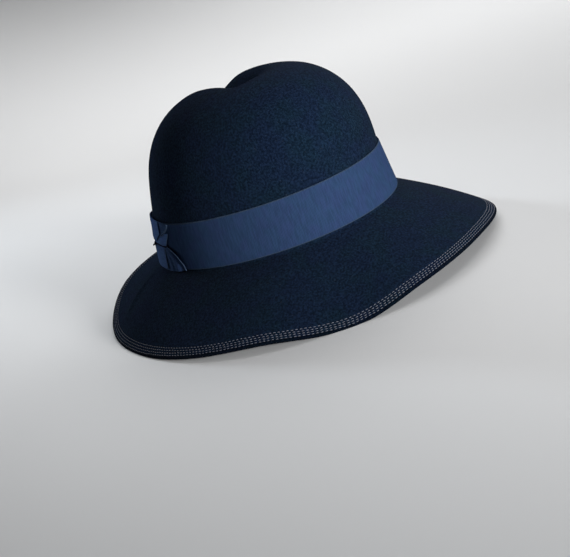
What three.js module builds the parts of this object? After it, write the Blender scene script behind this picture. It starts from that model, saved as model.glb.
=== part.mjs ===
// A woman's felt fedora: one felt body with a creased dome crown and a turned-down
// brim, a grosgrain hatband, and a flat grosgrain bow on the wearer's right.
//
// Millimetres, +Z up. The front of the hat faces -Y and the wearer's right is -X.
// The hat lies on its brim on the plane z = 0.
//
// Azimuths are in degrees round the head, 0 at the front, 90 at the wearer's left,
// 180 at the back and 270 at the wearer's right. Heights are first taken from the
// band's lower edge, and the whole hat is then laid down on its brim.

import * as THREE from 'three';

// ---- driving dimensions ------------------------------------------------------

// Felt outside at the band's lower edge: half of its length and half of its width.
const HEAD = { front: 101.7, side: 83.7 };

const BAND = { height: 33, frontTaper: 1.6, sideTaper: 3.0, thickness: 0.9 };
const GAP = 0.3;                          // between two pieces that touch
const CROWN_TOP = 110;                    // the crown's height, but for its crease

const FELT = { wall: 2.0, hem: 3.0, hemWidth: 7.2, hemBlend: 3, rimRound: 1.2 };
const BREAK = { depth: 1.2, leg: 1.4 };   // fillet where the crown turns into the brim

// How far the crown leans in by its top, the exponent of its rounded outline, and how
// much further in than elsewhere it stands by the band's upper edge.
const DOME = [
  { azimuth: 0, lean: -1.2, fullness: 2.86, tuck: 0 },
  { azimuth: 60, lean: -2.3, fullness: 2.53, tuck: 0 },
  { azimuth: 110, lean: 5, fullness: 2.6, tuck: 0 },
  { azimuth: 180, lean: 12.3, fullness: 2.23, tuck: 0 },
  { azimuth: 250, lean: 12.4, fullness: 2.97, tuck: 1.05 },
  { azimuth: 300, lean: 7.7, fullness: 2.77, tuck: 0 },
];

// Above its lower height the crown counts as its top, which slopes down to the back.
const TOP = { from: 60, slopeFrom: -35, slope: 0.072 };

// The crease along the top: its depth, where it starts and ends along Y and where it
// is deepest, where its slanting middle line crosses X, how round its bottom is, and
// how far each of its sides reaches. The right side falls softly, the left one steeply.
const CREASE = {
  depth: 13.4,
  front: -56,
  deepFrom: -35,
  deepTo: 20,
  back: 70,
  middle: 0.9,
  slant: 0.1,
  round: 1.1,
  right: { reach: 11.4, fall: 2 },
  left: { reach: 7.9, fall: 1.4 },
};

// The brim's edge: how far out from the crown, how far below the band, and how far
// the brim bulges above the straight line between the two.
const BRIM = [
  { azimuth: 0, out: 59, drop: 36.5, bulge: 0 },
  { azimuth: 25, out: 56.1, drop: 35, bulge: 0 },
  { azimuth: 60, out: 59.3, drop: 41.4, bulge: 2.7 },
  { azimuth: 90, out: 54.7, drop: 41.5, bulge: -0.7 },
  { azimuth: 140, out: 54, drop: 29.2, bulge: 1 },
  { azimuth: 180, out: 51, drop: 13.5, bulge: -2 },
  { azimuth: 215, out: 51.5, drop: 17, bulge: -1 },
  { azimuth: 245, out: 53.5, drop: 30.5, bulge: 2 },
  { azimuth: 270, out: 55.5, drop: 34.5, bulge: 4 },
  { azimuth: 300, out: 59, drop: 35.5, bulge: 2 },
  { azimuth: 320, out: 59, drop: 35.8, bulge: 1 },
  { azimuth: 343, out: 59, drop: 43, bulge: 0 },
];
const BRIM_WIDTH = 70;                    // along its slope, from the crown to its edge

// The bow on the band: half of its width at the waist, the top and the bottom, and how
// proud it stands at its top and its bottom.
const BOW = {
  azimuth: 253,
  waistHalf: 24,
  topHalf: 38,
  bottomHalf: 45,
  topEdge: 34.4,
  bottomEdge: -0.5,
  topProud: 1.2,
  bottomProud: 2.2,
  flare: 0.7,                             // 1 is a straight-sided fan
  thinning: 0.55,                         // lost by its two ends, as a share of proud
  standOff: 0.75,                         // clears the edges between the band's facets
};

// The tie round the bow's waist: its lower and upper edge, and what it adds.
const TIE = { low: 15.3, high: 17.7, extraHalf: 0.6, proud: 2, thinning: 0.5 };

// How the hat lies on its brim: turned about X, then about Y, in degrees, then moved so
// that it lies in the middle of its box. What would go below the surface is pressed flat.
const REST = { pitch: -2.3, roll: -1.5, x: -1.73, y: 4.67, height: 39.6 };

const SEGMENTS = { round: 72, dome: 13, wall: 2, fillet: 2, brim: 5, bowAcross: 8, bowUp: 4 };

// Small steps along the surface, which give its direction.
const STEP = { place: 0.01, degrees: 0.5, apexClear: 0.04 };

// ---- small helpers -------------------------------------------------------------

const radians = (degrees) => degrees * Math.PI / 180;
const clamp01 = (t) => Math.min(1, Math.max(0, t));

function smooth(t) {
  const c = clamp01(t);
  return c * c * (3 - 2 * c);
}

/** Smooth value of one column of a table at an azimuth, all the way round. */
function around(table, column, azimuth) {
  const count = table.length;
  const at = ((azimuth % 360) + 360) % 360;
  const after = table.findIndex((row) => row.azimuth > at);
  const low = after < 0 ? count - 1 : after - 1;
  const row = (k) => {
    const turns = Math.floor(k / count);
    const source = table[k - turns * count];
    return [source.azimuth + 360 * turns, source[column]];
  };
  const slopeAt = (k) => {
    const [[xa, ya], [xb, yb], [xc, yc]] = [k - 1, k, k + 1].map(row);
    const before = (yb - ya) / (xb - xa);
    const behind = (yc - yb) / (xc - xb);
    return (before * (xc - xb) + behind * (xb - xa)) / (xc - xa);
  };
  const [x1, y1] = row(low);
  const [x2, y2] = row(low + 1);
  const span = x2 - x1;
  const t = (at - x1) / span;
  return y1 * (1 + 2 * t) * (1 - t) ** 2
    + slopeAt(low) * span * t * (1 - t) ** 2
    + y2 * t * t * (3 - 2 * t)
    + slopeAt(low + 1) * span * t * t * (t - 1);
}

/** Point of the head oval at a height, pushed out along the oval's normal. */
function ovalPoint(azimuth, height, out) {
  const angle = radians(azimuth);
  const tuck = around(DOME, 'tuck', azimuth);
  const front = HEAD.front - (BAND.frontTaper + tuck) * height / BAND.height;
  const side = HEAD.side - (BAND.sideTaper + tuck) * height / BAND.height;
  const point = new THREE.Vector3(side * Math.sin(angle), -front * Math.cos(angle), height);
  const normal = new THREE.Vector3(Math.sin(angle) / side, -Math.cos(angle) / front, 0);
  return point.addScaledVector(normal.normalize(), out);
}

/** How much the top sinks at a place of the crown: its slope and its crease. */
function topSink(x, y, z) {
  const top = smooth((z - TOP.from) / (CROWN_TOP - TOP.from));
  const slope = TOP.slope * Math.max(0, y - TOP.slopeFrom);
  const along = smooth((y - CREASE.front) / (CREASE.deepFrom - CREASE.front))
    * smooth((CREASE.back - y) / (CREASE.back - CREASE.deepTo));
  const across = x - CREASE.middle - CREASE.slant * y;
  const away = Math.hypot(across, CREASE.round) - CREASE.round;
  const side = across < 0 ? CREASE.right : CREASE.left;
  return top * slope + CREASE.depth * along * Math.exp(-((away / side.reach) ** side.fall));
}

// ---- the felt's outside ----------------------------------------------------------

/** Crown above the band. step runs from 0 at the apex to 1 at the band's upper edge. */
function domePoint(azimuth, step) {
  const turn = (1 - step) * Math.PI / 2;
  const power = 2 / around(DOME, 'fullness', azimuth);
  const shrink = Math.cos(turn) ** power;
  const rise = Math.sin(turn) ** power;
  const lean = around(DOME, 'tuck', azimuth)
    + around(DOME, 'lean', azimuth) * Math.sin(rise * Math.PI / 2);
  const angle = radians(azimuth);
  const x = (HEAD.side - BAND.sideTaper - lean) * shrink * Math.sin(angle);
  const y = -(HEAD.front - BAND.frontTaper - lean) * shrink * Math.cos(angle);
  const z = THREE.MathUtils.lerp(BAND.height, CROWN_TOP, rise);
  return new THREE.Vector3(x, y, z - topSink(x, y, z));
}

/** Brim. step runs from 0 at the crown to 1 at the edge. */
function brimPoint(azimuth, step) {
  const point = ovalPoint(azimuth, 0, step * around(BRIM, 'out', azimuth));
  const bulge = 4 * around(BRIM, 'bulge', azimuth) * step * (1 - step);
  point.z = -THREE.MathUtils.lerp(BREAK.depth, around(BRIM, 'drop', azimuth), step) + bulge;
  return point;
}

/** Fillet between the two. step runs from 0 on the crown's wall to 1 on the brim. */
function filletPoint(azimuth, step) {
  const curve = new THREE.QuadraticBezierCurve3(
    ovalPoint(azimuth, BREAK.leg - BREAK.depth, 0),
    ovalPoint(azimuth, -BREAK.depth, 0),
    brimPoint(azimuth, BREAK.leg / around(BRIM, 'out', azimuth)),
  );
  return curve.getPoint(step);
}

/** The whole outside: place 0-1 is the dome, 1-2 the wall, 2-3 the fillet, 3-4 the brim. */
function feltPoint(azimuth, place) {
  if (place <= 1) return domePoint(azimuth, place);
  if (place <= 2) {
    const foot = BREAK.leg - BREAK.depth;
    return ovalPoint(azimuth, THREE.MathUtils.lerp(BAND.height, foot, place - 1), 0);
  }
  if (place <= 3) return filletPoint(azimuth, place - 2);
  const start = BREAK.leg / around(BRIM, 'out', azimuth);
  return brimPoint(azimuth, THREE.MathUtils.lerp(start, 1, place - 3));
}

/** Unit normal of the outside, pointing away from the head. */
function feltNormal(azimuth, place) {
  const near = Math.max(place, STEP.apexClear);
  const along = feltPoint(azimuth, Math.min(near + STEP.place, 4))
    .sub(feltPoint(azimuth, near - STEP.place));
  const round = feltPoint(azimuth + STEP.degrees, near)
    .sub(feltPoint(azimuth - STEP.degrees, near));
  return along.cross(round).normalize();
}

/** The felt's thickness at a place: doubled cloth of the hem near the edge. */
function feltThickness(place) {
  const fromEdge = (4 - place) * BRIM_WIDTH;
  const inward = smooth((fromEdge - FELT.hemWidth) / FELT.hemBlend + 0.5);
  return THREE.MathUtils.lerp(FELT.hem, FELT.wall, inward);
}

// ---- meshes -----------------------------------------------------------------------

const REST_TURN = new THREE.Matrix4()
  .makeRotationY(radians(REST.roll))
  .multiply(new THREE.Matrix4().makeRotationX(radians(REST.pitch)));

/** Lays a point of the standing hat down on its brim. */
function laid(point) {
  const down = point.clone().applyMatrix4(REST_TURN);
  return down.set(down.x + REST.x, down.y + REST.y, Math.max(0, down.z + REST.height));
}

/** The points of one level of the hat, at even azimuths all the way round. */
function ringOf(pointAt) {
  return Array.from({ length: SEGMENTS.round }, (_, k) => pointAt(360 * k / SEGMENTS.round));
}

/** Mesh between rings of points, each ring closed on itself. A ring of one point closes
 *  its end with a fan, and joined rings close on themselves from the last to the first. */
function ringMesh(rings, joined) {
  const starts = [];
  let total = 0;
  rings.forEach((ring) => {
    starts.push(total);
    total += ring.length;
  });
  const faces = [];
  const pairs = joined ? rings.length : rings.length - 1;
  for (let k = 0; k < pairs; k += 1) {
    const next = (k + 1) % rings.length;
    const [a, b] = [rings[k].length, rings[next].length];
    const count = Math.max(a, b);
    for (let i = 0; i < count; i += 1) {
      const j = (i + 1) % count;
      if (b > 1) faces.push(starts[k] + (a > 1 ? i : 0), starts[next] + i, starts[next] + j);
      if (a > 1) faces.push(starts[k] + i, starts[next] + (b > 1 ? j : 0), starts[k] + j);
    }
  }
  const geometry = new THREE.BufferGeometry().setFromPoints(rings.flat());
  geometry.setIndex(faces);
  return geometry;
}

/** Felt body: the outside from the apex to the edge, the rounded edge, the inside back. */
function feltBody() {
  const places = [SEGMENTS.dome, SEGMENTS.wall, SEGMENTS.fillet, SEGMENTS.brim]
    .flatMap((count, zone) => Array.from({ length: count }, (_, k) => zone + (k + 1) / count));
  const outside = (place) => ringOf((azimuth) => feltPoint(azimuth, place));
  const inside = (place) => ringOf((azimuth) => feltPoint(azimuth, place)
    .addScaledVector(feltNormal(azimuth, place), -feltThickness(place)));
  const rim = ringOf((azimuth) => {
    const edge = feltPoint(azimuth, 4);
    const onward = edge.clone().sub(feltPoint(azimuth, 4 - STEP.place)).normalize();
    return edge.addScaledVector(onward, FELT.rimRound)
      .addScaledVector(feltNormal(azimuth, 4), -FELT.hem / 2);
  });
  const apex = feltPoint(0, 0);
  const innerApex = new THREE.Vector3(apex.x, apex.y, apex.z - FELT.wall);
  const rings = [
    [apex],
    ...places.map(outside),
    rim,
    ...places.toReversed().map(inside),
    [innerApex],
  ];
  return ringMesh(rings.map((ring) => ring.map(laid)), false);
}

/** Hatband: its four corners swept round the head oval. */
function hatband() {
  const corner = (height, out) => ringOf((azimuth) => laid(ovalPoint(azimuth, height, out)));
  const [low, high] = [GAP, BAND.height - GAP];
  const outer = GAP + BAND.thickness;
  return ringMesh(
    [corner(low, GAP), corner(high, GAP), corner(high, outer), corner(low, outer)],
    true,
  );
}

/** A patch that lies on the band from one height to another, with half of its width at
 *  each height and with its thickness at each place across, from -1 to 1. */
function bandPatch(low, high, halfAt, thicknessAt) {
  const [columns, rows] = [SEGMENTS.bowAcross, SEGMENTS.bowUp];
  const back = BAND.thickness + BOW.standOff;
  const arc = ovalPoint(BOW.azimuth + STEP.degrees, 0, 0)
    .distanceTo(ovalPoint(BOW.azimuth - STEP.degrees, 0, 0)) / (2 * STEP.degrees);
  const rings = Array.from({ length: rows + 1 }, (_, r) => {
    const height = THREE.MathUtils.lerp(low, high, r / rows);
    const layer = (outAt) => Array.from({ length: columns + 1 }, (__, c) => {
      const across = 2 * c / columns - 1;
      const azimuth = BOW.azimuth + across * halfAt(height) / arc;
      return laid(ovalPoint(azimuth, height, back + outAt(across)));
    });
    return [...layer(() => 0), ...layer(thicknessAt).reverse()];
  });
  const sides = ringMesh(rings, false);
  const ends = endFaces(columns, rings[0].length, rows);
  sides.setIndex([...sides.getIndex().array, ...ends]);
  return sides;
}

/** Faces that close the lowest and the highest ring of a patch. */
function endFaces(columns, count, rows) {
  const last = rows * count;
  return Array.from({ length: columns }, (_, c) => {
    const [near, nearNext, far, farNext] = [c, c + 1, count - 1 - c, count - 2 - c];
    return [
      near, nearNext, far,
      nearNext, farNext, far,
      last + near, last + far, last + nearNext,
      last + nearNext, last + far, last + farNext,
    ];
  }).flat();
}

const thinned = (proud, thinning) => (across) => proud * (1 - thinning * across * across);

/** A fan of the bow, from its narrow end at the waist to its wide end. */
function bowFan(low, high, waist, wide, wideHalf, proud) {
  const halfAt = (height) => {
    const spread = clamp01((height - waist) / (wide - waist)) ** BOW.flare;
    return THREE.MathUtils.lerp(BOW.waistHalf, wideHalf, spread);
  };
  return bandPatch(low, high, halfAt, thinned(proud, BOW.thinning));
}

function bowUpperFan() {
  const waist = TIE.high + GAP;
  return bowFan(waist, BOW.topEdge, waist, BOW.topEdge, BOW.topHalf, BOW.topProud);
}

function bowLowerFan() {
  const waist = TIE.low - GAP;
  return bowFan(BOW.bottomEdge, waist, waist, BOW.bottomEdge, BOW.bottomHalf, BOW.bottomProud);
}

function bowTie() {
  const half = BOW.waistHalf + TIE.extraHalf;
  return bandPatch(TIE.low, TIE.high, () => half, thinned(TIE.proud, TIE.thinning));
}

// ---- the hat -------------------------------------------------------------------------

const MATERIALS = {
  felt: { color: 0x0d1424, roughness: 0.95, metalness: 0 },
  grosgrain: { color: 0x1f2c4d, roughness: 0.75, metalness: 0 },
  tie: { color: 0x0a0e18, roughness: 0.7, metalness: 0 },
};

function piece(name, geometry, material) {
  geometry.computeVertexNormals();
  const mesh = new THREE.Mesh(geometry, new THREE.MeshStandardMaterial(MATERIALS[material]));
  mesh.name = name;
  return mesh;
}

const hat = new THREE.Group();
hat.add(
  piece('felt_body', feltBody(), 'felt'),
  piece('hatband', hatband(), 'grosgrain'),
  piece('bow_upper_fan', bowUpperFan(), 'grosgrain'),
  piece('bow_lower_fan', bowLowerFan(), 'grosgrain'),
  piece('bow_tie', bowTie(), 'tie'),
);

export default hat;
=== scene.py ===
"""The looks of a felt fedora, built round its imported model.

The hat is first worked out standing upright, in millimetres: its front faces -Y, the
wearer's right is -X, azimuths run in degrees from the front through the wearer's left,
and heights start at the band's lower edge. Then it is laid down on its brim, as the
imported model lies, and turned into metres.
"""

import math

import bpy
import numpy as np
from mathutils import Matrix, Vector


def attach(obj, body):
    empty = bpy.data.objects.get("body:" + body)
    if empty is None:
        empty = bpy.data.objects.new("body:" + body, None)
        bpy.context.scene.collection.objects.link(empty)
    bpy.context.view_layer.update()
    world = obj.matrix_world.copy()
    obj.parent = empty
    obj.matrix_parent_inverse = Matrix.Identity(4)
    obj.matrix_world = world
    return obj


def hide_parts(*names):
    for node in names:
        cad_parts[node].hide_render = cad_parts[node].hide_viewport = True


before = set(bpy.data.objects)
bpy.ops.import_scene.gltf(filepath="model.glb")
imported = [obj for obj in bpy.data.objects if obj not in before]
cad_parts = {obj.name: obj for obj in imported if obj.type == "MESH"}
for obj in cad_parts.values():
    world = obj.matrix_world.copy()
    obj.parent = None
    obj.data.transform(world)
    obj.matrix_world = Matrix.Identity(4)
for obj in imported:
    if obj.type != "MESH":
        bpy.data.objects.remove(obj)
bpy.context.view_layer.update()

MM = 0.001
SEED = 11

# ---- the felt's sizes, in millimetres and degrees --------------------------------------

HEAD_FRONT, HEAD_SIDE = 101.7, 83.7      # half of the felt's length and width at the band
BAND_HEIGHT, BAND_THICKNESS = 33.0, 0.9
FRONT_TAPER, SIDE_TAPER = 1.6, 3.0       # how much the crown narrows behind the band
GAP = 0.3                                # between two pieces that touch
CROWN_TOP = 110.0

WALL, HEM = 2.0, 3.0                     # the felt's thickness, and at the brim's edge
HEM_WIDTH, HEM_BLEND = 7.2, 3.0
RIM_ROUND = 1.2
BREAK_DEPTH, BREAK_LEG = 1.2, 1.4        # fillet where the crown turns into the brim

# How far the crown leans in by its top, the exponent of its rounded outline, and how
# much further in than elsewhere it stands by the band's upper edge.
DOME = [
    {"azimuth": 0, "lean": -1.2, "fullness": 2.86, "tuck": 0},
    {"azimuth": 60, "lean": -2.3, "fullness": 2.53, "tuck": 0},
    {"azimuth": 110, "lean": 5, "fullness": 2.6, "tuck": 0},
    {"azimuth": 180, "lean": 12.3, "fullness": 2.23, "tuck": 0},
    {"azimuth": 250, "lean": 12.4, "fullness": 2.97, "tuck": 1.05},
    {"azimuth": 300, "lean": 7.7, "fullness": 2.77, "tuck": 0},
]
TOP_FROM = 60.0                          # above this height the crown is its top
TOP_SLOPE_FROM, TOP_SLOPE = -35.0, 0.072

# The crease along the top. It starts and ends along Y, and reaches out along X, with a
# soft near side and a steep far side.
CREASE = {
    "depth": 13.4, "front": -56.0, "deep_from": -35.0, "deep_to": 20.0, "back": 70.0,
    "middle": 0.9, "slant": 0.1, "round": 1.1,
    "right_reach": 11.4, "right_fall": 2.0, "left_reach": 7.9, "left_fall": 1.4,
}

# The brim's edge: how far out from the crown, how far below the band, and how far the
# brim bulges above the straight line between the two.
BRIM = [
    {"azimuth": 0, "out": 59, "drop": 36.5, "bulge": 0},
    {"azimuth": 25, "out": 56.1, "drop": 35, "bulge": 0},
    {"azimuth": 60, "out": 59.3, "drop": 41.4, "bulge": 2.7},
    {"azimuth": 90, "out": 54.7, "drop": 41.5, "bulge": -0.7},
    {"azimuth": 140, "out": 54, "drop": 29.2, "bulge": 1},
    {"azimuth": 180, "out": 51, "drop": 13.5, "bulge": -2},
    {"azimuth": 215, "out": 51.5, "drop": 17, "bulge": -1},
    {"azimuth": 245, "out": 53.5, "drop": 30.5, "bulge": 2},
    {"azimuth": 270, "out": 55.5, "drop": 34.5, "bulge": 4},
    {"azimuth": 300, "out": 59, "drop": 35.5, "bulge": 2},
    {"azimuth": 320, "out": 59, "drop": 35.8, "bulge": 1},
    {"azimuth": 343, "out": 59, "drop": 43, "bulge": 0},
]

# A soft ridge across the brim below the bow.
RIDGE = {"azimuth": 241.0, "swing": -16.0, "width": 1.9, "height": 1.6}

FELT_AROUND = 320                        # points in each ring of the felt
FELT_RINGS = {"dome": 84, "wall": 4, "fillet": 5, "brim": 36, "hem": 36, "rim": 7}
RIM_SHADE_RINGS = 2                       # rings of the hem that share the painted shade of its rounded rim
STEP_NUDGE, AZIMUTH_NUDGE = 0.004, 0.3   # to either side, to find the brim's directions

# ---- the stitches' sizes ---------------------------------------------------------------

STITCH_ROWS = (0.8, 2.45, 4.1, 5.75)     # from the start of the rounded rim, inwards
STITCH_PITCH, STITCH_LENGTH, STITCH_RADIUS = 2.8, 2.2, 0.195
STITCH_SINK, STITCH_DIP = 0.10, 0.42     # below the felt in its middle, and more at its ends
STITCH_TIP = 0.12                        # share of its section that a stitch's end keeps
STITCH_SIDES, STITCH_RINGS = 6, 5
ROW_SAMPLES = 1441                       # places at which a row's length is measured
# How much the stitches differ: along in degrees, across in millimetres, and in tilt.
AZIMUTH_JITTER, ACROSS_JITTER, TILT_JITTER = 0.02, 0.06, 0.04
# The groove that a row of stitches presses into the felt, and its depth on the underside.
GROOVE_WIDTH, GROOVE_DEPTH, GROOVE_UNDER = 0.42, 0.22, 0.12

# ---- the ribbons' sizes ----------------------------------------------------------------

RIB_PITCH, RIB_DEPTH = 0.9, 0.12         # the grosgrain's ribs
RIB_STEPS = 4                            # rows of points in each rib
BAND_SELVAGE, BAND_PICOT, BAND_EDGE_THIN = 0.55, 0.26, 0.25
BAND_ROWS = 13                           # rings up the band's outside, but for its selvages
RIBBON, PICOT = 0.28, 0.18               # the bow's ribbon: thickness and its edge's teeth
EDGE_THIN, EDGE_BEAD = 0.45, 0.3         # its thinned edge and the bead inside it, as shares
RIBBON_COLUMNS, UNDER_COLUMNS = 64, 96
RUN_SAMPLES, RUN_ACROSS = 401, 0.4       # how and where a ribbon's length is measured

# The bow: a ribbon gathered at mid-height by a thread, over a wider under layer. Ways
# across run from the bow's middle towards the hat's front. In each part, "front" is the
# share of its way that shows, "home" how far it then runs back behind its fold, "across"
# how much its end curves, and "..._over" the stretch in which something comes or goes.
BOW_AZIMUTH, BOW_WAIST = 253.0, 16.5
BOW_DEGREE = math.radians(1.0) * math.hypot(
    HEAD_SIDE * math.cos(math.radians(BOW_AZIMUTH)),
    HEAD_FRONT * math.sin(math.radians(BOW_AZIMUTH)))
BOW_STAND, BOW_STAND_REACH = 0.95, 9.5   # how the whole bow bellies off the band
BOW_START = 0.3                          # from the waist to the loop's or tongue's first row
PINCH_REACH = 1.3                        # how far the thread draws the ribbon in
LAYER_LIFT, LAYER_STEP = 0.45, 0.32      # the lowest layer off the band, and layer to layer
FOLD_SHARE = 0.04                        # share of a ribbon's way that its fold takes
GATHER_DEPTH, GATHER_FADE = 0.45, 3      # folds from the thread, and the power they fade by
UNDER = {
    "front": 0.88, "fold": 0.3, "home": 5.0, "home_narrow": 0.08, "home_drop": 0.4,
    "waist": 24.0, "top": 31.6, "top_height": 25.7, "bottom": -0.8, "across": 0.9,
    "spread": 21.5, "spread_over": 4.7,
    "top_lift": 0.22, "top_over": 12.0,
    "swell_over": 4.0, "swell_loss": 0.75, "loss_from": 0.35,
    "belly": 0.4, "flare": 1.4, "flare_over": 17.0, "folds_over": 7.0,
    "tuck": 1.3, "tuck_from": 0.8, "tuck_start": 8.0, "tuck_end": 14.0,
}
# Folds of its lower part: where, as a share of its half width, how wide and how proud.
UNDER_FOLDS = ((0.62, 0.05, 0.42), (0.79, 0.05, 0.48), (0.91, 0.045, -0.9), (1.0, 0.05, 0.25))
HIGHLIGHT_SHARE = 0.28                        # share of its way, from its top, in the lighter shade of a painted highlight
LOOP = {
    "front": 0.7, "fold": 0.3, "home": 9.0, "home_narrow": 0.5, "gathers": 5.0, "run": 17.0,
    "middle": -6.0, "waist": 10.0, "spread": 30.0, "top_height": 34.6, "across": 2.2,
    "lift": 0.95, "top_drop": 0.38, "puff": 0.65, "puff_over": 0.35,
}
STRIP = {"half": 23.7, "inside": 0.5, "above": 0.1, "across": 0.4, "edge_lift": 0.18,
         "edge_power": 8, "edge_over": 0.3}
STRIP_LIFT = ((0.0, 0.0), (0.2, 0.31), (0.5, 0.5), (0.8, 0.53), (0.97, 0.3), (1.0, 0.1))
TONGUE = {
    "front": 0.78, "fold": 0.25, "home": 4.0, "home_narrow": 0.25, "gathers": 9.0, "run": 16.0,
    "middle": -3.0, "waist": 24.5, "end": 23.0, "bottom": 0.4, "across": 0.5,
    "crown": 0.35, "lift": 0.1, "follow": 0.5,
}
# The thread: two strands over the waist, higher over the loop, their ends tucked in.
TIE = {
    "radius": 0.3, "sink": 0.2, "past": 1.6, "samples": 90, "sides": 10,
    "end": 0.35, "next_to_end": 0.8, "apart": 0.32, "closing": 9.0,
    "over": 0.5, "over_reach": 6.0, "tuck_from": 0.6, "tuck_to": 1.4,
}
KNOT = {"below": 0.5, "wide": 0.9, "high": 0.95, "lift": 1.55, "weave": 0.35,
        "turns": 1.4, "samples": 40, "radius": 0.5}
KNOT_END = {"across": 0.8, "fall": 0.9, "lift": 1.3, "rise": 2.3, "samples": 9, "radius": 0.62}
OFF_ROUTE = (0.13, 0.31, 0.94)           # a direction in which no thread runs

# ---- how the hat lies, and the camera --------------------------------------------------

# Turned about X, then about Y, then moved.
REST_PITCH, REST_ROLL = -2.3, -1.5
REST_MOVE = (-1.73, 4.67, 39.6)

# The camera, placed round the upright hat: where it stands, what it aims at and its
# turn about its own axis.
CAMERA = {"azimuth": -25.0, "elevation": 12.3, "roll": 21.4, "distance": 857.0,
          "aim_right": -10.6, "aim_up": -42.2}
LENS, SENSOR = 75.0, 36.0

# ---- colours, stage and world ----------------------------------------------------------

FELT_COLOR, FELT_TEAL = (0.0040, 0.0085, 0.0202), (0.0038, 0.0095, 0.0184)
FELT_HAIR = (0.018, 0.026, 0.042)
FELT_SHEEN_TINT = (0.85, 0.85, 1.0, 1.0)
GROSGRAIN_COLOR, GROSGRAIN_TEAL = (0.0176, 0.0318, 0.0770), (0.0162, 0.0336, 0.0742)
# Paler than the ribbon: a painted highlight where light catches the ribbons' edges.
SELVAGE_HIGHLIGHT_COLOR = (0.046, 0.074, 0.128)
STITCH_COLOR, STITCH_DARK, STITCH_LIGHT = (
    (0.15, 0.15, 0.18), (0.085, 0.09, 0.11), (0.165, 0.17, 0.20))
TIE_COLOR, TIE_DARK, TIE_LIGHT = (
    (0.004, 0.005, 0.012), (0.003, 0.003, 0.008), (0.006, 0.007, 0.016))
# How the ribbons' streaks are stretched: upright on the band, level on the bow.
BAND_GRAIN, BOW_GRAIN = (1.0, 1.0, 0.08), (1.0, 0.08, 1.0)
# As shares of each one's colour: painted highlights on parts of the bow, the band's dimmer
# painted edge highlight, and painted shade on the felt's rounded rim.
STRIP_HIGHLIGHT_LEVEL, FRONT_HIGHLIGHT_LEVEL, BAND_SELVAGE_HIGHLIGHT_LEVEL, RIM_SHADE_LEVEL = 1.9, 1.6, 0.55, 0.35
# The shades of a speckle: where in the noise each stands, and its share of the colour.
FELT_SHADES = ((0.34, 0.58), (0.5, 1.0), (0.66, 1.55))
GROSGRAIN_SHADES = ((0.35, 0.88), (0.65, 1.13))

STAGE_COLOR = (0.80, 0.81, 0.83)
# Painted shade: the floor darker towards one side, where less light reaches it.
STAGE_PAINTED_SHADES = [(0.15, (0.65, 0.655, 0.66)), (0.45, (0.79, 0.795, 0.80)),
                (0.85, (0.85, 0.855, 0.86))]
STAGE_GRADE, STAGE_GRADE_TURN, STAGE_GRADE_MIDDLE = 0.7, -25.0, 0.5   # per metre, degrees
STAGE_FLAT, STAGE_REACH, STAGE_HEIGHT = 1.2, 3.5, 3.0                 # in metres
STAGE_AROUND, STAGE_FLAT_RINGS, STAGE_WALL_RINGS = 96, 6, 24
HAT_MIDDLE = Vector((0.0, 0.0, 0.08))    # what the lights are aimed at, in metres
WHITE, COOL_WHITE = (1.0, 1.0, 1.0), (0.86, 0.93, 1.0)
WORLD_COLOR, WORLD_STRENGTH = (0.93, 0.95, 1.0, 1.0), 0.01

# ---- shape functions -------------------------------------------------------------------


def ease(x, start, end):
    """0 up to the start and 1 from the end on, smooth between them."""
    t = np.clip((x - start) / (end - start), 0.0, 1.0)
    return t * t * (3.0 - 2.0 * t)


def bell(x, width):
    """1 at zero, fading away on both sides."""
    return np.exp(-(x / width) ** 2)


def lerp(a, b, t):
    return a + (b - a) * t


def around(rows, column, azimuth):
    """Smooth value of one column of a table at an azimuth, all the way round."""
    count = len(rows)
    turns = [row["azimuth"] + 360.0 * lap for lap in (-1, 0, 1) for row in rows]
    xs = np.array(turns, dtype=float)
    ys = np.array([row[column] for row in rows] * 3, dtype=float)
    gap = np.diff(xs)
    rise = np.diff(ys) / gap
    slopes = np.zeros_like(ys)
    slopes[1:-1] = (rise[:-1] * gap[1:] + rise[1:] * gap[:-1]) / (gap[1:] + gap[:-1])
    at = np.mod(azimuth, 360.0)
    k = np.clip(np.searchsorted(xs, at, side="right") - 1, count - 1, 2 * count - 1)
    span = xs[k + 1] - xs[k]
    t = (at - xs[k]) / span
    return (ys[k] * (1 + 2 * t) * (1 - t) ** 2 + slopes[k] * span * t * (1 - t) ** 2
            + ys[k + 1] * t * t * (3 - 2 * t) + slopes[k + 1] * span * t * t * (t - 1))


def oval_point(azimuth, height, out):
    """Point of the head oval at a height, pushed out along the oval's normal."""
    angle = np.radians(azimuth)
    tuck = around(DOME, "tuck", azimuth)
    front = HEAD_FRONT - (FRONT_TAPER + tuck) * height / BAND_HEIGHT
    side = HEAD_SIDE - (SIDE_TAPER + tuck) * height / BAND_HEIGHT
    nx, ny = np.sin(angle) / side, -np.cos(angle) / front
    length = np.hypot(nx, ny)
    x = side * np.sin(angle) + out * nx / length
    y = -front * np.cos(angle) + out * ny / length
    return np.stack(np.broadcast_arrays(x, y, height), axis=-1).astype(float)


def top_sink(x, y, z):
    """How much the top sinks at a place of the crown: its slope and its crease."""
    slope = TOP_SLOPE * np.maximum(0.0, y - TOP_SLOPE_FROM)
    c = CREASE
    along = ease(y, c["front"], c["deep_from"]) * ease(y, c["back"], c["deep_to"])
    across = x - c["middle"] - c["slant"] * y
    away = np.hypot(across, c["round"]) - c["round"]
    right = np.exp(-(away / c["right_reach"]) ** c["right_fall"])
    left = np.exp(-(away / c["left_reach"]) ** c["left_fall"])
    return (ease(z, TOP_FROM, CROWN_TOP) * slope
            + c["depth"] * along * np.where(across < 0.0, right, left))


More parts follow.
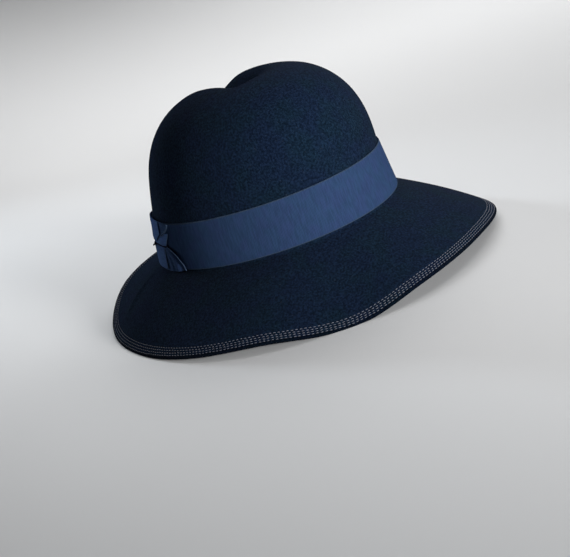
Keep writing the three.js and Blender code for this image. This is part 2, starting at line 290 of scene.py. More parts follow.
def dome_point(azimuth, step):
    """Point of the crown above the band, from its apex at step 0 to the band at 1."""
    turn = (1.0 - step) * math.pi / 2
    power = 2.0 / around(DOME, "fullness", azimuth)
    shrink = np.cos(turn) ** power
    rise = np.sin(turn) ** power
    lean = around(DOME, "lean", azimuth) * np.sin(rise * math.pi / 2)
    lean = lean + around(DOME, "tuck", azimuth)
    angle = np.radians(azimuth)
    x = (HEAD_SIDE - SIDE_TAPER - lean) * shrink * np.sin(angle)
    y = -(HEAD_FRONT - FRONT_TAPER - lean) * shrink * np.cos(angle)
    z = lerp(BAND_HEIGHT, CROWN_TOP, rise)
    return np.stack([x, y, z - top_sink(x, y, z)], axis=-1)


def brim_point(azimuth, step):
    """Point of the brim's top, from the crown at step 0 to where the rim rounds at 1."""
    point = oval_point(azimuth, np.zeros_like(azimuth * step),
                       step * around(BRIM, "out", azimuth))
    bulge = 4.0 * around(BRIM, "bulge", azimuth) * step * (1.0 - step)
    off_ridge = np.mod(azimuth, 360.0) - (RIDGE["azimuth"] - RIDGE["swing"] * step)
    bulge = bulge + (RIDGE["height"] * np.sin(math.pi * np.clip(step, 0.0, 1.0)) ** 2
                     * bell(off_ridge, RIDGE["width"]))
    point[..., 2] = -lerp(BREAK_DEPTH, around(BRIM, "drop", azimuth), step) + bulge
    return point


def brim_length(azimuth):
    return np.hypot(around(BRIM, "out", azimuth), around(BRIM, "drop", azimuth) - BREAK_DEPTH)


def fillet_point(azimuth, step):
    """Point of the rounded break between crown and brim, from step 0 above to 1 outside."""
    zero = np.zeros_like(azimuth * step)
    start = oval_point(azimuth, zero + BREAK_LEG - BREAK_DEPTH, 0.0)
    corner = oval_point(azimuth, zero - BREAK_DEPTH, 0.0)
    end = brim_point(azimuth, zero + BREAK_LEG / around(BRIM, "out", azimuth))
    s = (zero + step)[..., None]
    return start * (1 - s) ** 2 + corner * 2 * s * (1 - s) + end * s * s


REST_TURN = (Matrix.Rotation(math.radians(REST_ROLL), 3, "Y")
             @ Matrix.Rotation(math.radians(REST_PITCH), 3, "X"))


def laid(points):
    """Lays points of the upright hat down on its brim, in metres, none below the floor."""
    down = points @ np.array(REST_TURN).T + np.array(REST_MOVE)
    down[..., 2] = np.maximum(down[..., 2], 0.0)
    return down * MM


# ---- meshes ----------------------------------------------------------------------------


def new_object(name, vertices, faces, materials, marks=None):
    """Adds a smooth mesh. The marks give each face's place in the list of materials."""
    mesh = bpy.data.meshes.new(name)
    mesh.from_pydata(np.asarray(vertices).reshape(-1, 3).tolist(), [], faces)
    mesh.validate()
    mesh.polygons.foreach_set("use_smooth", [True] * len(mesh.polygons))
    for material in materials:
        mesh.materials.append(material)
    if marks:
        mesh.polygons.foreach_set("material_index", marks)
    mesh.update()
    obj = bpy.data.objects.new(name, mesh)
    bpy.context.scene.collection.objects.link(obj)
    return obj


def ring_faces(rings, count):
    """Quads between rings of points, each ring closed on itself."""
    faces = []
    for k in range(rings - 1):
        low, high = k * count, (k + 1) * count
        for i in range(count):
            j = (i + 1) % count
            faces.append((low + i, high + i, high + j, low + j))
    return faces


def tube_faces(base, rings, sides, clockwise):
    """Faces of a closed tube, whose rings of points start at an index."""
    faces = []
    for k in range(rings - 1):
        a, b = base + k * sides, base + (k + 1) * sides
        for n in range(sides):
            m = (n + 1) % sides
            faces.append((a + n, b + n, b + m, a + m) if clockwise
                         else (a + n, a + m, b + m, b + n))
    first = tuple(base + n for n in range(sides))
    last = tuple(base + (rings - 1) * sides + n for n in range(sides))
    return faces + ([first, last[::-1]] if clockwise else [first[::-1], last])


def unit(vectors):
    return vectors / np.linalg.norm(vectors, axis=-1, keepdims=True)


def distance_along(line):
    """How far along a line each of its points lies."""
    return np.concatenate([[0], np.cumsum(np.linalg.norm(np.diff(line, axis=0), axis=1))])


def grid_normals(grid):
    """Unit normals of a grid of points, rings by columns, its columns closed round."""
    round_ = np.roll(grid, -1, axis=1) - np.roll(grid, 1, axis=1)
    return unit(np.cross(np.gradient(grid, axis=0), round_))


def open_normals(grid):
    """Unit normals of an open grid of points, rows along a ribbon by columns across."""
    return unit(np.cross(np.gradient(grid, axis=1), np.gradient(grid, axis=0)))


def felt_outside():
    """Rings of the felt's outside, and how far each is from the brim's edge."""
    azimuth = np.arange(FELT_AROUND) * 360.0 / FELT_AROUND
    rings, edge = [], []
    length = brim_length(azimuth)
    for k in range(FELT_RINGS["dome"]):
        rings.append(dome_point(azimuth, (k + 1) / FELT_RINGS["dome"] + 0 * azimuth))
        edge.append(length + BAND_HEIGHT)
    foot = BREAK_LEG - BREAK_DEPTH
    for k in range(FELT_RINGS["wall"]):
        t = (k + 1) / FELT_RINGS["wall"]
        rings.append(oval_point(azimuth, lerp(BAND_HEIGHT, foot, t) + 0 * azimuth, 0.0))
        edge.append(length + BAND_HEIGHT * (1 - t))
    for k in range(FELT_RINGS["fillet"]):
        rings.append(fillet_point(azimuth, (k + 1) / FELT_RINGS["fillet"]))
        edge.append(length)
    first = BREAK_LEG / around(BRIM, "out", azimuth)
    hem = 1.0 - (HEM_WIDTH + HEM_BLEND / 2) / length
    for part, start, end in (("brim", first, hem), ("hem", hem, 1.0)):
        for k in range(FELT_RINGS[part]):
            step = lerp(start, end, (k + 1) / FELT_RINGS[part])
            rings.append(brim_point(azimuth, step))
            edge.append((1 - step) * length)
    return np.array(rings), np.array(edge)


def felt_thickness(edge):
    return lerp(HEM, WALL, ease(edge, HEM_WIDTH - HEM_BLEND / 2, HEM_WIDTH + HEM_BLEND / 2))


def felt_mesh(material, rim_shade_material):
    """Crown and brim: one closed shell of felt, hollow below, with a rounded rim."""
    outside, edge = felt_outside()
    normal = grid_normals(outside)
    groove = sum(bell(edge - row, GROOVE_WIDTH) for row in STITCH_ROWS)
    inside = outside - normal * (felt_thickness(edge) - GROOVE_UNDER * groove)[..., None]
    outside = outside - normal * (GROOVE_DEPTH * groove)[..., None]
    onward = unit(outside[-1] - outside[-2])
    middle = outside[-1] - normal[-1] * HEM / 2
    rim = []
    for k in range(1, FELT_RINGS["rim"]):
        turn = math.pi * k / FELT_RINGS["rim"]
        rim.append(middle + normal[-1] * HEM / 2 * math.cos(turn)
                   + onward * RIM_ROUND * math.sin(turn))
    # The inside needs only every other ring.
    keep = sorted(set(range(0, len(inside), 2)) | {len(inside) - 1})
    rings = np.concatenate([outside, np.array(rim), inside[keep][::-1]])
    apex = dome_point(np.array([0.0]), np.array([0.0]))
    inner_apex = apex - np.array([0.0, 0.0, WALL])
    count = FELT_AROUND
    vertices = np.concatenate([laid(rings).reshape(-1, 3), laid(apex), laid(inner_apex)])
    faces = ring_faces(len(rings), count)
    top, under = len(vertices) - 2, len(vertices) - 1
    last = (len(rings) - 1) * count
    for i in range(count):
        j = (i + 1) % count
        faces.append((top, i, j))
        faces.append((under, last + j, last + i))
    # The rounded rim and the hem's last rings take the darker felt, a painted shade on the rim.
    shade_from = len(outside) - 1 - RIM_SHADE_RINGS
    shade_to = len(outside) + len(rim)
    marks = [int(shade_from <= k // count < shade_to) for k in range(len(faces))]
    return new_object("felt_hat", vertices, faces, [material, rim_shade_material], marks)


def rib_height(steps):
    """1 on the crest of a rib and 0 in the furrow between two, by steps along the ribs."""
    return 0.5 + 0.5 * np.cos(steps * 2 * math.pi / RIB_STEPS)


def band_mesh(material, selvage):
    """Grosgrain ribbon: real ribs on its outside and a serrated edge at top and bottom."""
    low, high = GAP, BAND_HEIGHT - GAP
    a, b = HEAD_FRONT, HEAD_SIDE
    perimeter = math.pi * (3 * (a + b) - math.sqrt((3 * a + b) * (a + 3 * b)))
    count = round(perimeter / RIB_PITCH) * RIB_STEPS
    azimuth = np.arange(count) * 360.0 / count
    rib = rib_height(np.arange(count))
    heights = [low, low + BAND_SELVAGE, *np.linspace(low, high, BAND_ROWS)[1:-1],
               high - BAND_SELVAGE, high]
    rings = []
    for k, height in enumerate(heights):
        first, last = k == 0, k == len(heights) - 1
        picot = BAND_PICOT * rib * (int(last) - int(first))
        out = (GAP + BAND_THICKNESS - RIB_DEPTH * (1 - rib)
               - (BAND_EDGE_THIN if first or last else 0.0))
        rings.append(oval_point(azimuth, height + picot, out))
    rings.append(oval_point(azimuth, high + BAND_PICOT * rib, GAP + 0 * rib))
    rings.append(oval_point(azimuth, low - BAND_PICOT * rib, GAP + 0 * rib))
    # From the outside's bottom ring across to the inside, up it, and back down outside.
    points = laid(np.array(rings[:1] + rings[:0:-1]))
    total = len(points) * count
    faces = [tuple(v % total for v in f) for f in ring_faces(len(points) + 1, count)]
    edges = (0, 2, 3, len(points) - 1)
    marks = [int(k // count in edges) for k in range(len(faces))]
    return new_object("grosgrain_band", points, faces, [material, selvage], marks)


def brim_surface(azimuth, inward):
    """Point, normal and forward direction of the brim's top, a way in from its rim."""
    step = 1.0 - inward / brim_length(azimuth)
    point = brim_point(azimuth, step)
    along = brim_point(azimuth, step + STEP_NUDGE) - brim_point(azimuth, step - STEP_NUDGE)
    round_ = (brim_point(azimuth + AZIMUTH_NUDGE, step)
              - brim_point(azimuth - AZIMUTH_NUDGE, step))
    return point, unit(np.cross(along, round_)), unit(round_)


def stitch_mesh(name, material, under):
    """Four rows of machine stitches along the brim's edge, each stitch a short thread."""
    rng = np.random.default_rng(SEED + under)
    vertices, faces = [], []
    for row in STITCH_ROWS:
        sweep = np.linspace(0, 360, ROW_SAMPLES)
        run = distance_along(brim_surface(sweep, row + 0 * sweep)[0])
        number = int(round(run[-1] / STITCH_PITCH))
        at = (np.arange(number) + rng.uniform(0, 1)) * run[-1] / number
        azimuth = np.interp(np.mod(at, run[-1]), run, sweep)
        azimuth = azimuth + rng.normal(0, AZIMUTH_JITTER, number)
        point, normal, forward = brim_surface(
            azimuth, row + rng.normal(0, ACROSS_JITTER, number))
        if under:
            point = point - normal * (HEM - GROOVE_UNDER)
            normal = -normal
        side = np.cross(normal, forward)
        forward = forward + side * rng.normal(0.0, TILT_JITTER, number)[:, None]
        block = []
        for k in range(STITCH_RINGS):
            t = 2.0 * k / (STITCH_RINGS - 1) - 1.0
            radius = STITCH_RADIUS * math.sqrt(max(STITCH_TIP, 1 - t ** 4))
            centre = (point + forward * (t * STITCH_LENGTH / 2)
                      - normal * (STITCH_SINK + STITCH_DIP * t ** 4))
            for s in range(STITCH_SIDES):
                turn = 2 * math.pi * s / STITCH_SIDES
                block.append(centre + side * radius * math.cos(turn)
                             + normal * radius * math.sin(turn))
        for stitch in np.array(block).transpose(1, 0, 2):
            faces += tube_faces(len(vertices), STITCH_RINGS, STITCH_SIDES, False)
            vertices.extend(stitch)
    return new_object(name, laid(np.array(vertices)), faces, [material])


# ---- the bow ---------------------------------------------------------------------------


def bow_point(across, height, proud):
    """Point a way across from the bow's middle, at a height, standing off the band."""
    across, height, proud = np.broadcast_arrays(across, height, proud)
    stand = BOW_STAND * bell(height - BOW_WAIST, BOW_STAND_REACH)
    return oval_point(BOW_AZIMUTH + across / BOW_DEGREE, height,
                      GAP + BAND_THICKNESS + stand + proud)


def pinch(away):
    """0 where the thread draws the ribbon in, 1 away from it."""
    return 1.0 - bell(away, PINCH_REACH)


def gathers(across, folds, share):
    """Depth of the folds that run out from the thread and fade on the way."""
    wave = 0.5 - 0.5 * np.cos(across * folds * math.pi)
    return GATHER_DEPTH * wave * (1 - share) ** GATHER_FADE


def folded(turn, front):
    """Splits a ribbon's way into its front, the angle of its fold and its way home."""
    share = np.clip(turn / front, 0.0, 1.0)
    angle = math.pi * np.clip((turn - front) / FOLD_SHARE, 0.0, 1.0)
    home = np.clip((turn - front - FOLD_SHARE) / (1.0 - front - FOLD_SHARE), 0.0, 1.0)
    return share, angle, home


def behind(angle):
    """How far a fold has taken the ribbon behind its own front."""
    return LAYER_STEP * (1 - np.cos(angle)) / 2


def under_half(height):
    """Half of the under layer's width: straight above its waist, spreading below it."""
    up = (height - BOW_WAIST) / (UNDER["top_height"] - BOW_WAIST)
    down = np.maximum(0.0, BOW_WAIST - height)
    below = UNDER["spread"] * (1.0 - np.exp(-down / UNDER["spread_over"]))
    return np.where(up > 0, lerp(UNDER["waist"], UNDER["top"], up), UNDER["waist"] + below)


def under_proud(across, height):
    """How far the under layer stands off the band: flat above, flared and folded below."""
    u = UNDER
    away = height - BOW_WAIST
    down = np.maximum(0.0, -away)
    share = np.abs(across) / under_half(height)
    swell = 1.0 - u["swell_loss"] * ease(share, u["loss_from"], 1.0)
    upper = (lerp(LAYER_LIFT, u["top_lift"], ease(away, 0.0, u["top_over"]))
             + swell * pinch(away) * bell(away, u["swell_over"]))
    folds = (sum(proud * bell(share - place, width) for place, width, proud in UNDER_FOLDS)
             * ease(down, 0.0, u["folds_over"]))
    tuck = (u["tuck"] * ease(share, u["tuck_from"], 1.0)
            * ease(down, u["tuck_start"], u["tuck_end"]))
    flare = u["belly"] + u["flare"] * ease(down, 0.0, u["flare_over"])
    return np.where(away > 0, upper, LAYER_LIFT + pinch(away) * flare + folds - tuck)


def under_shape(turn, across):
    """The under layer: down from its top to a fold at its bottom, and back up behind."""
    share, angle, home = folded(turn, UNDER["front"])
    bottom = UNDER["bottom"] + UNDER["fold"] + UNDER["across"] * across ** 2
    front = lerp(UNDER["top_height"], bottom, share)
    height = front - UNDER["fold"] * np.sin(angle) + UNDER["home"] * home
    wide = across * under_half(height) * (1.0 - UNDER["home_narrow"] * home)
    proud = under_proud(wide, front) - behind(angle) - UNDER["home_drop"] * home
    return bow_point(wide, height, proud)


def loop_half(share):
    """Half of the loop's width on its way from the waist to its top."""
    return (LOOP["waist"]
            + LOOP["spread"] * np.sin(np.clip(share, 0.0, 1.0) * math.pi / 2) ** 2)


def loop_proud(share, across):
    """How far the loop's front stands off the band, with its puff and its gathers."""
    puff = pinch(share * LOOP["run"]) * LOOP["puff"] * bell(share, LOOP["puff_over"])
    return (LOOP["lift"] - LOOP["top_drop"] * share + puff
            - gathers(across, LOOP["gathers"], share))


def loop_shape(turn, across):
    """The upper loop: out from the waist to a fold at its top, and back behind."""
    share, angle, home = folded(turn, LOOP["front"])
    top = LOOP["top_height"] - LOOP["fold"] - LOOP["across"] * np.abs(across) ** 3
    height = (lerp(BOW_WAIST + BOW_START, top, share) + LOOP["fold"] * np.sin(angle)
              - LOOP["home"] * home)
    level = share - LOOP["home_narrow"] * home
    wide = LOOP["middle"] + across * loop_half(level)
    return bow_point(wide, height, loop_proud(level, across) - behind(angle))


def strip_shape(share, across):
    """The straight strip up the middle of the loop, from the waist to the loop's top."""
    top = LOOP["top_height"] + STRIP["above"] - STRIP["across"] * across ** 2
    height = lerp(BOW_WAIST + BOW_START, top, share)
    half = np.minimum(STRIP["half"], loop_half(share) - STRIP["inside"])
    lift = np.interp(share, *zip(*STRIP_LIFT))
    lift = lift + (STRIP["edge_lift"] * np.abs(across) ** STRIP["edge_power"]
                   * ease(share, 0.0, STRIP["edge_over"]))
    proud = loop_proud(share, across * half / loop_half(share)) + lift
    return bow_point(LOOP["middle"] + across * half, height, proud)


def tongue_shape(turn, across):
    """The lower tongue: a flat length of ribbon whose end is folded under itself."""
    share, angle, home = folded(turn, TONGUE["front"])
    bottom = TONGUE["bottom"] + TONGUE["fold"] + TONGUE["across"] * across ** 2
    height = (lerp(BOW_WAIST - BOW_START, bottom, share) - TONGUE["fold"] * np.sin(angle)
              + TONGUE["home"] * home)
    half = lerp(TONGUE["waist"], TONGUE["end"], share - TONGUE["home_narrow"] * home)
    wide = TONGUE["middle"] + across * half
    drawn = pinch(share * TONGUE["run"])
    lift = drawn * (2 * LAYER_STEP + TONGUE["crown"] * (1 - across ** 2)) + TONGUE["lift"]
    proud = (under_proud(TONGUE["follow"] * wide, height) + lift - behind(angle)
             - gathers(across, TONGUE["gathers"], share))
    return bow_point(wide, height, proud)


def even_rows(shape, columns):
    """Samples a ribbon's shape at even steps along its length, and says how ribbed it is."""
    across = np.linspace(-1.0, 1.0, columns)
    fine = np.linspace(0.0, 1.0, RUN_SAMPLES)
    run = distance_along(shape(fine[:, None], np.array([[RUN_ACROSS]]))[:, 0])
    count = round(run[-1] / RIB_PITCH) * RIB_STEPS + 1
    at = np.interp(np.linspace(0, run[-1], count), run, fine)
    rib = rib_height(np.arange(count) + RIB_STEPS / 2)
    return shape(at[:, None], across[None, :]), rib[:, None, None]


def ribbon_mesh(name, shape, turned, materials, columns=RIBBON_COLUMNS):
    """A closed thin ribbon with ribs across it and a beaded, toothed edge on each side.

    The materials are the ribbon's, its edges' and, if there is a third, that of a painted
    highlight on its first rows, a set share of them. A turned ribbon's outside is on its other
    side.
    """
    middle, rib = even_rows(shape, columns)
    rows = len(middle)
    normal = open_normals(middle) * (-1.0 if turned else 1.0)
    bead, reach = np.zeros((1, columns, 1)), np.zeros((1, columns, 1))
    bead[:, [0, -1]], bead[:, [1, -2]] = -EDGE_THIN, EDGE_BEAD
    reach[:, 0], reach[:, -1] = -1.0, 1.0
    middle = middle + unit(np.gradient(middle, axis=1)) * reach * PICOT * rib
    half = RIBBON / 2 * (1 + bead)
    outer = middle + normal * (half - RIB_DEPTH * (1 - rib))
    inner = middle - normal * half
    layer = rows * columns
    faces, edges = [], []

    def quad(corners, flipped, group):
        group.append(tuple(reversed(corners)) if flipped != turned else tuple(corners))

    for r in range(rows - 1):
        for k in range(columns - 1):
            a, b = r * columns + k, (r + 1) * columns + k
            group = edges if k in (0, columns - 2) else faces
            quad((a, a + 1, b + 1, b), False, group)
            quad((layer + a, layer + a + 1, layer + b + 1, layer + b), True, group)
        for k, flipped in ((0, False), (columns - 1, True)):
            a, b = r * columns + k, (r + 1) * columns + k
            quad((a, b, layer + b, layer + a), flipped, edges)
    for r, flipped in ((0, True), (rows - 1, False)):
        for k in range(columns - 1):
            a = r * columns + k
            quad((a, a + 1, layer + a + 1, layer + a), flipped, faces)
    marks = [0] * len(faces) + [1] * len(edges)
    # A third material paints a highlight on the first rows.
    if len(materials) > 2:
        faces_a_row = 2 * (columns - 3)
        highlighted = round(HIGHLIGHT_SHARE * (rows - 1)) * faces_a_row
        marks[:highlighted] = [2] * highlighted
    points = np.concatenate([outer.reshape(-1, 3), inner.reshape(-1, 3)])
    return new_object(name, laid(points), faces + edges, materials, marks)


def tube_mesh(name, routes, material):
    """Round threads with rounded ends along routes of points, each with its radius."""
    sides = TIE["sides"]
    vertices, faces = [], []
    for route, radius in routes:
        along = unit(np.gradient(route, axis=0))
        side = unit(np.cross(along, OFF_ROUTE))
        over = np.cross(side, along)
        taper = np.ones(len(route))
        taper[[0, -1]], taper[[1, -2]] = TIE["end"], TIE["next_to_end"]
        faces += tube_faces(len(vertices), len(route), sides, True)
        for k, centre in enumerate(route):
            for n in range(sides):
                angle = 2 * math.pi * n / sides
                push = side[k] * math.cos(angle) + over[k] * math.sin(angle)
                vertices.append(centre + push * radius * taper[k])
    return new_object(name, laid(np.array(vertices)), faces, [material])


def tie_mesh(material):
    """The thread wound twice round the bow's waist, its knot and the knot's short end."""
    ends = UNDER["waist"] + TIE["past"]
    across = np.linspace(-ends, ends, TIE["samples"])
    over = TIE["over"] * np.exp(-((across - LOOP["middle"]) / TIE["over_reach"]) ** 4)
    proud = LAYER_LIFT + RIBBON / 2 + TIE["radius"] * (1 - TIE["sink"]) + over
    tuck = ease(np.abs(across), UNDER["waist"] - TIE["tuck_from"],
                UNDER["waist"] + TIE["tuck_to"])
    routes = []
    for strand in (-1, 1):
        height = BOW_WAIST + strand * TIE["apart"] * np.cos(across / TIE["closing"])
        routes.append((bow_point(across, height, lerp(proud, 0.0, tuck)), TIE["radius"]))
    turn = np.linspace(0, 2 * math.pi * KNOT["turns"], KNOT["samples"])
    knot_height = BOW_WAIST - KNOT["below"]
    knot = bow_point(LOOP["middle"] + KNOT["wide"] * np.cos(turn),
                     knot_height + KNOT["high"] * np.sin(turn),
                     KNOT["lift"] + KNOT["weave"] * np.sin(2 * turn))
    routes.append((knot, KNOT["radius"]))
    along = np.linspace(0, 1, KNOT_END["samples"])
    end = bow_point(LOOP["middle"] + KNOT_END["across"] * along,
                    knot_height - KNOT_END["fall"] * along ** 2,
                    KNOT_END["lift"] + KNOT_END["rise"] * along)
    routes.append((end, KNOT_END["radius"]))
    return tube_mesh("bow_thread", routes, material)


# ---- materials -------------------------------------------------------------------------


def node_material(name, color, roughness, specular=0.0, sheen=0.0, sheen_roughness=0.5,
                  sheen_tint=(1.0, 1.0, 1.0, 1.0)):
    """New material, with its node tree, its shader and places on the object's surface."""
    material = bpy.data.materials.new(name)
    material.use_nodes = True
    tree = material.node_tree
    shader = tree.nodes["Principled BSDF"]
    shader.inputs["Base Color"].default_value = (*color, 1.0)
    shader.inputs["Roughness"].default_value = roughness
    shader.inputs["Sheen Weight"].default_value = sheen
    shader.inputs["Sheen Roughness"].default_value = sheen_roughness
    shader.inputs["Sheen Tint"].default_value = sheen_tint
    shader.inputs["Specular IOR Level"].default_value = specular
    place = tree.nodes.new("ShaderNodeTexCoord").outputs["Object"]
    return material, tree, shader, place


def tint(color, amount):
    return tuple(amount * c for c in color)


def noise(tree, place, scale, detail):
    node = tree.nodes.new("ShaderNodeTexNoise")
    node.inputs["Scale"].default_value = scale
    node.inputs["Detail"].default_value = detail
    tree.links.new(place, node.inputs["Vector"])
    return node.outputs["Fac"]


def mapping(tree, place, **settings):
    """Moved, turned or scaled places."""
    node = tree.nodes.new("ShaderNodeMapping")
    for socket, value in settings.items():
        node.inputs[socket].default_value = value
    tree.links.new(place, node.inputs["Vector"])
    return node.outputs["Vector"]


def ramp(tree, factor, stops):
    node = tree.nodes.new("ShaderNodeValToRGB")
    elements = node.color_ramp.elements
    while len(elements) < len(stops):
        elements.new(0.5)
    for element, (at, color) in zip(elements, stops):
        element.position = at
        element.color = (*color, 1.0)
    tree.links.new(factor, node.inputs["Fac"])
    return node.outputs["Color"]


def grey_ramp(tree, factor, start, end, most=1.0):
    """0 up to the start, and the most from the end on."""
    return ramp(tree, factor, [(start, tint(WHITE, 0.0)), (end, tint(WHITE, most))])


def bump(tree, shader, height, distance, strength):
    node = tree.nodes.new("ShaderNodeBump")
    node.inputs["Distance"].default_value = distance
    node.inputs["Strength"].default_value = strength
    tree.links.new(height, node.inputs["Height"])
    tree.links.new(node.outputs["Normal"], shader.inputs["Normal"])


def blend_colors(tree, factor, first):
    """Mix node with the first colour where the factor is 0, and its free socket."""
    node = tree.nodes.new("ShaderNodeMix")
    node.data_type = "RGBA"
    tree.links.new(factor, node.inputs["Factor"])
    tree.links.new(first, node.inputs["A"])
    return node.outputs["Result"], node.inputs["B"]


def two_hues(tree, speckle, shades, hues, level, share):
    """A speckle in shades of one hue where the share is 0, and of the other where it is 1."""
    first, second = (
        ramp(tree, speckle, [(at, tint(hue, amount * level)) for at, amount in shades])
        for hue in hues)
    result, other = blend_colors(tree, share, first)
    tree.links.new(second, other)
    return result


def felt_material(name, level):
    """Short brushed nap: fine speckle, slow blue and teal clouds, and a few pale hairs."""
    material, tree, shader, place = node_material(
        name, FELT_COLOR, roughness=0.95, sheen=0.009, sheen_roughness=0.6,
        sheen_tint=FELT_SHEEN_TINT)
    clouds = noise(tree, place, scale=55.0, detail=4.0)
    speckle = noise(tree, place, scale=750.0, detail=3.0)
    hairs = noise(tree, place, scale=520.0, detail=5.0)
    nap = two_hues(tree, speckle, FELT_SHADES, (FELT_COLOR, FELT_TEAL), level,
                   grey_ramp(tree, clouds, 0.40, 0.62))
    result, hair = blend_colors(tree, grey_ramp(tree, hairs, 0.66, 0.74, 0.6), nap)
    hair.default_value = (*tint(FELT_HAIR, level), 1.0)
    tree.links.new(result, shader.inputs["Base Color"])
    bump(tree, shader, speckle, distance=0.0005, strength=0.6)
    return material


def grosgrain_material(name, level, grain):
    """Ribbed ribbon: streaks along its ribs over slow clouds of violet and teal."""
    material, tree, shader, place = node_material(
        name, tint(GROSGRAIN_COLOR, level), roughness=0.55, sheen=0.012, sheen_roughness=0.35)
    clouds = noise(tree, place, scale=110.0, detail=3.0)
    streaks = noise(tree, mapping(tree, place, Scale=grain), scale=1400.0, detail=1.0)
    color = two_hues(tree, streaks, GROSGRAIN_SHADES, (GROSGRAIN_COLOR, GROSGRAIN_TEAL),
                     level, grey_ramp(tree, clouds, 0.40, 0.60))
    tree.links.new(color, shader.inputs["Base Color"])
    fine = noise(tree, place, scale=3000.0, detail=2.0)
    bump(tree, shader, fine, distance=0.0001, strength=0.4)
    return material


def fine_material(name, color, dark, light, roughness, scale, strength, specular=0.0):
    """Thread or a ribbon's edge: a fine speckle between a dark and a light shade."""
    material, tree, shader, place = node_material(name, color, roughness, specular)
    fine = noise(tree, place, scale, detail=2.0)
    tree.links.new(ramp(tree, fine, [(0.3, dark), (0.7, light)]), shader.inputs["Base Color"])
    bump(tree, shader, fine, distance=0.0001, strength=strength)
    return material


# A paler speckle along a ribbon's edges: painted highlight of light catching them.
def selvage_highlight_material(name, level):
    color, dark, light = (tint(SELVAGE_HIGHLIGHT_COLOR, share * level) for share in (1.0, 0.7, 1.3))
    return fine_material(name, color, dark, light, roughness=0.6, scale=1500.0, strength=0.4)


def stage_material():
    """Pale paper, painted from light on one side to a softer grey on the other: shade standing
    in for the light falling off.
    """
    material, tree, shader, place = node_material(
        "stage", STAGE_COLOR, roughness=0.9, specular=0.1)
    graded = mapping(tree, place, Rotation=(0.0, 0.0, math.radians(STAGE_GRADE_TURN)),
                     Scale=tint(WHITE, STAGE_GRADE), Location=(STAGE_GRADE_MIDDLE, 0.0, 0.0))
    parts = tree.nodes.new("ShaderNodeSeparateXYZ")
    tree.links.new(graded, parts.inputs["Vector"])
    color = ramp(tree, parts.outputs["X"], STAGE_PAINTED_SHADES)
    tree.links.new(color, shader.inputs["Base Color"])
    return material


# ---- the hat ---------------------------------------------------------------------------

# The darker felt is painted shade on the brim's rounded rim.
felt = felt_mesh(felt_material("felt", 1.0), felt_material("felt_rim_shade", RIM_SHADE_LEVEL))
grosgrain = grosgrain_material("grosgrain_bow", 1.0, BOW_GRAIN)
# Lighter copies of the bow's grosgrain: painted highlights on its strip, its tongue and the top
# of its under layer.
bow_strip_highlight = grosgrain_material("grosgrain_strip_highlight", STRIP_HIGHLIGHT_LEVEL, BOW_GRAIN)
bow_front_highlight = grosgrain_material("grosgrain_front_highlight", FRONT_HIGHLIGHT_LEVEL, BOW_GRAIN)
# The edges' painted highlight, dimmer on the band.
selvage = selvage_highlight_material("selvage", 1.0)
band = band_mesh(grosgrain_material("grosgrain_band", 1.0, BAND_GRAIN),
                 selvage_highlight_material("selvage_band", BAND_SELVAGE_HIGHLIGHT_LEVEL))
loop = ribbon_mesh("bow_upper_loop", loop_shape, False, [grosgrain, selvage])
strip = ribbon_mesh("bow_upper_strip", strip_shape, False, [bow_strip_highlight, bow_strip_highlight])
tongue = ribbon_mesh("bow_lower_tongue", tongue_shape, True, [bow_front_highlight, selvage])
# The under layer's top rows take the strip's painted highlight.
under = ribbon_mesh("bow_under_layer", under_shape, True, [grosgrain, selvage, bow_strip_highlight],
                    UNDER_COLUMNS)
tie = tie_mesh(fine_material("tie_thread", TIE_COLOR, TIE_DARK, TIE_LIGHT,
                             roughness=0.9, scale=2500.0, strength=0.5))
thread = fine_material("stitch_thread", STITCH_COLOR, STITCH_DARK, STITCH_LIGHT,
                       roughness=0.8, scale=2500.0, strength=0.5, specular=0.05)
stitches = stitch_mesh("brim_stitches", thread, False)
stitches_under = stitch_mesh("brim_stitches_under", thread, True)

for piece in (felt, band, loop, strip, tongue, under, tie, stitches, stitches_under):
    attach(piece, "root")
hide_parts("felt_body")
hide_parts("hatband")
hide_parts("bow_upper_fan")
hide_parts("bow_lower_fan")
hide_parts("bow_tie")

# ---- stage, lights and camera ----------------------------------------------------------


def stage():
    """Round pale floor whose rim turns up into a wall, so that no edge of it shows."""
    profile = [(STAGE_FLAT * k / STAGE_FLAT_RINGS, 0.0)
               for k in range(1, STAGE_FLAT_RINGS + 1)]
    for k in range(1, STAGE_WALL_RINGS + 1):
        turn = math.pi / 2 * k / STAGE_WALL_RINGS
        profile.append((STAGE_FLAT + (STAGE_REACH - STAGE_FLAT) * math.sin(turn),
                        STAGE_HEIGHT * (1 - math.cos(turn))))
    turn = np.arange(STAGE_AROUND) * 2 * math.pi / STAGE_AROUND
    rings = [np.stack([radius * np.cos(turn), radius * np.sin(turn), z + 0 * turn], axis=-1)
             for radius, z in profile]
    vertices = np.concatenate([np.array(rings).reshape(-1, 3), [[0.0, 0.0, 0.0]]])
    faces = ring_faces(len(rings), STAGE_AROUND)
    for i in range(STAGE_AROUND):
        faces.append((len(vertices) - 1, i, (i + 1) % STAGE_AROUND))
    floor = new_object("stage_floor", vertices, faces, [stage_material()])


def direction(azimuth, elevation):
    """Direction from the hat towards a place round it and above it."""
    a, e = math.radians(azimuth), math.radians(elevation)
    return Vector((math.sin(a) * math.cos(e), -math.cos(a) * math.cos(e), math.sin(e)))


def place_light(data, azimuth, elevation, distance, straight_down=False):
    """Puts a light round the hat, aimed at it or straight at the floor."""
    light = bpy.data.objects.new(data.name, data)
    back = direction(azimuth, elevation)
    light.location = back * distance + HAT_MIDDLE
    light.visible_camera = False
    light.rotation_mode = "QUATERNION"
    facing = Vector((0, 0, 1)) if straight_down else back
    light.rotation_quaternion = facing.to_track_quat("Z", "Y")
    bpy.context.scene.collection.objects.link(light)


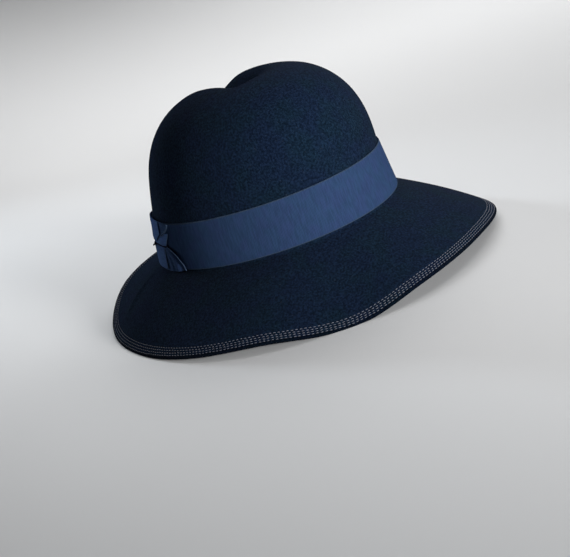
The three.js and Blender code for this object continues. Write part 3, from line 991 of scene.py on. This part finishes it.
def area_light(name, size, power):
    data = bpy.data.lights.new(name, "AREA")
    data.shape = "DISK"
    data.size = size
    data.energy = power
    return data


def spot_light(name, cone, radius, power, color):
    data = bpy.data.lights.new(name, "SPOT")
    data.spot_size = math.radians(cone)
    data.spot_blend = 1.0
    data.shadow_soft_size = radius
    data.energy = power
    data.color = color
    return data


def camera():
    """Camera placed round the upright hat, carried down with it to where it lies."""
    back = direction(CAMERA["azimuth"], CAMERA["elevation"])
    turn = math.radians(CAMERA["roll"])
    right = Vector((0, 0, 1)).cross(back).normalized()
    up = back.cross(right)
    place = back * CAMERA["distance"]
    aim = right * CAMERA["aim_right"] + up * CAMERA["aim_up"]
    forward = (aim - place).normalized()
    level = forward.cross(Vector((0, 0, 1))).normalized()
    over = level.cross(forward)
    image_right = level * math.cos(turn) - over * math.sin(turn)
    image_up = level * math.sin(turn) + over * math.cos(turn)
    axes = [REST_TURN @ v for v in (image_right, image_up, -forward)]
    data = bpy.data.cameras.new("camera")
    data.lens, data.sensor_width = LENS, SENSOR
    eye = bpy.data.objects.new("camera", data)
    turned = Matrix(axes).transposed().to_4x4()
    eye.matrix_world = Matrix.Translation((REST_TURN @ place + Vector(REST_MOVE)) * MM) @ turned
    bpy.context.scene.collection.objects.link(eye)
    bpy.context.scene.camera = eye


stage()
camera()
place_light(spot_light("key", cone=30, radius=0.25, power=285, color=WHITE),
            azimuth=6, elevation=6, distance=1.8)
place_light(area_light("back", size=1.2, power=14), azimuth=150, elevation=40, distance=1.8)
place_light(area_light("far_floor", size=1.6, power=16),
            azimuth=100, elevation=45, distance=2.2, straight_down=True)
place_light(spot_light("rim", cone=26, radius=0.1, power=100, color=COOL_WHITE),
            azimuth=-170, elevation=7, distance=1.8)
place_light(area_light("top", size=1.6, power=2), azimuth=0, elevation=85, distance=1.9)
world = bpy.data.worlds.new("world")
world.use_nodes = True
world.node_tree.nodes["Background"].inputs["Color"].default_value = WORLD_COLOR
world.node_tree.nodes["Background"].inputs["Strength"].default_value = WORLD_STRENGTH
bpy.context.scene.world = world
bpy.context.scene.view_settings.view_transform = "Standard"
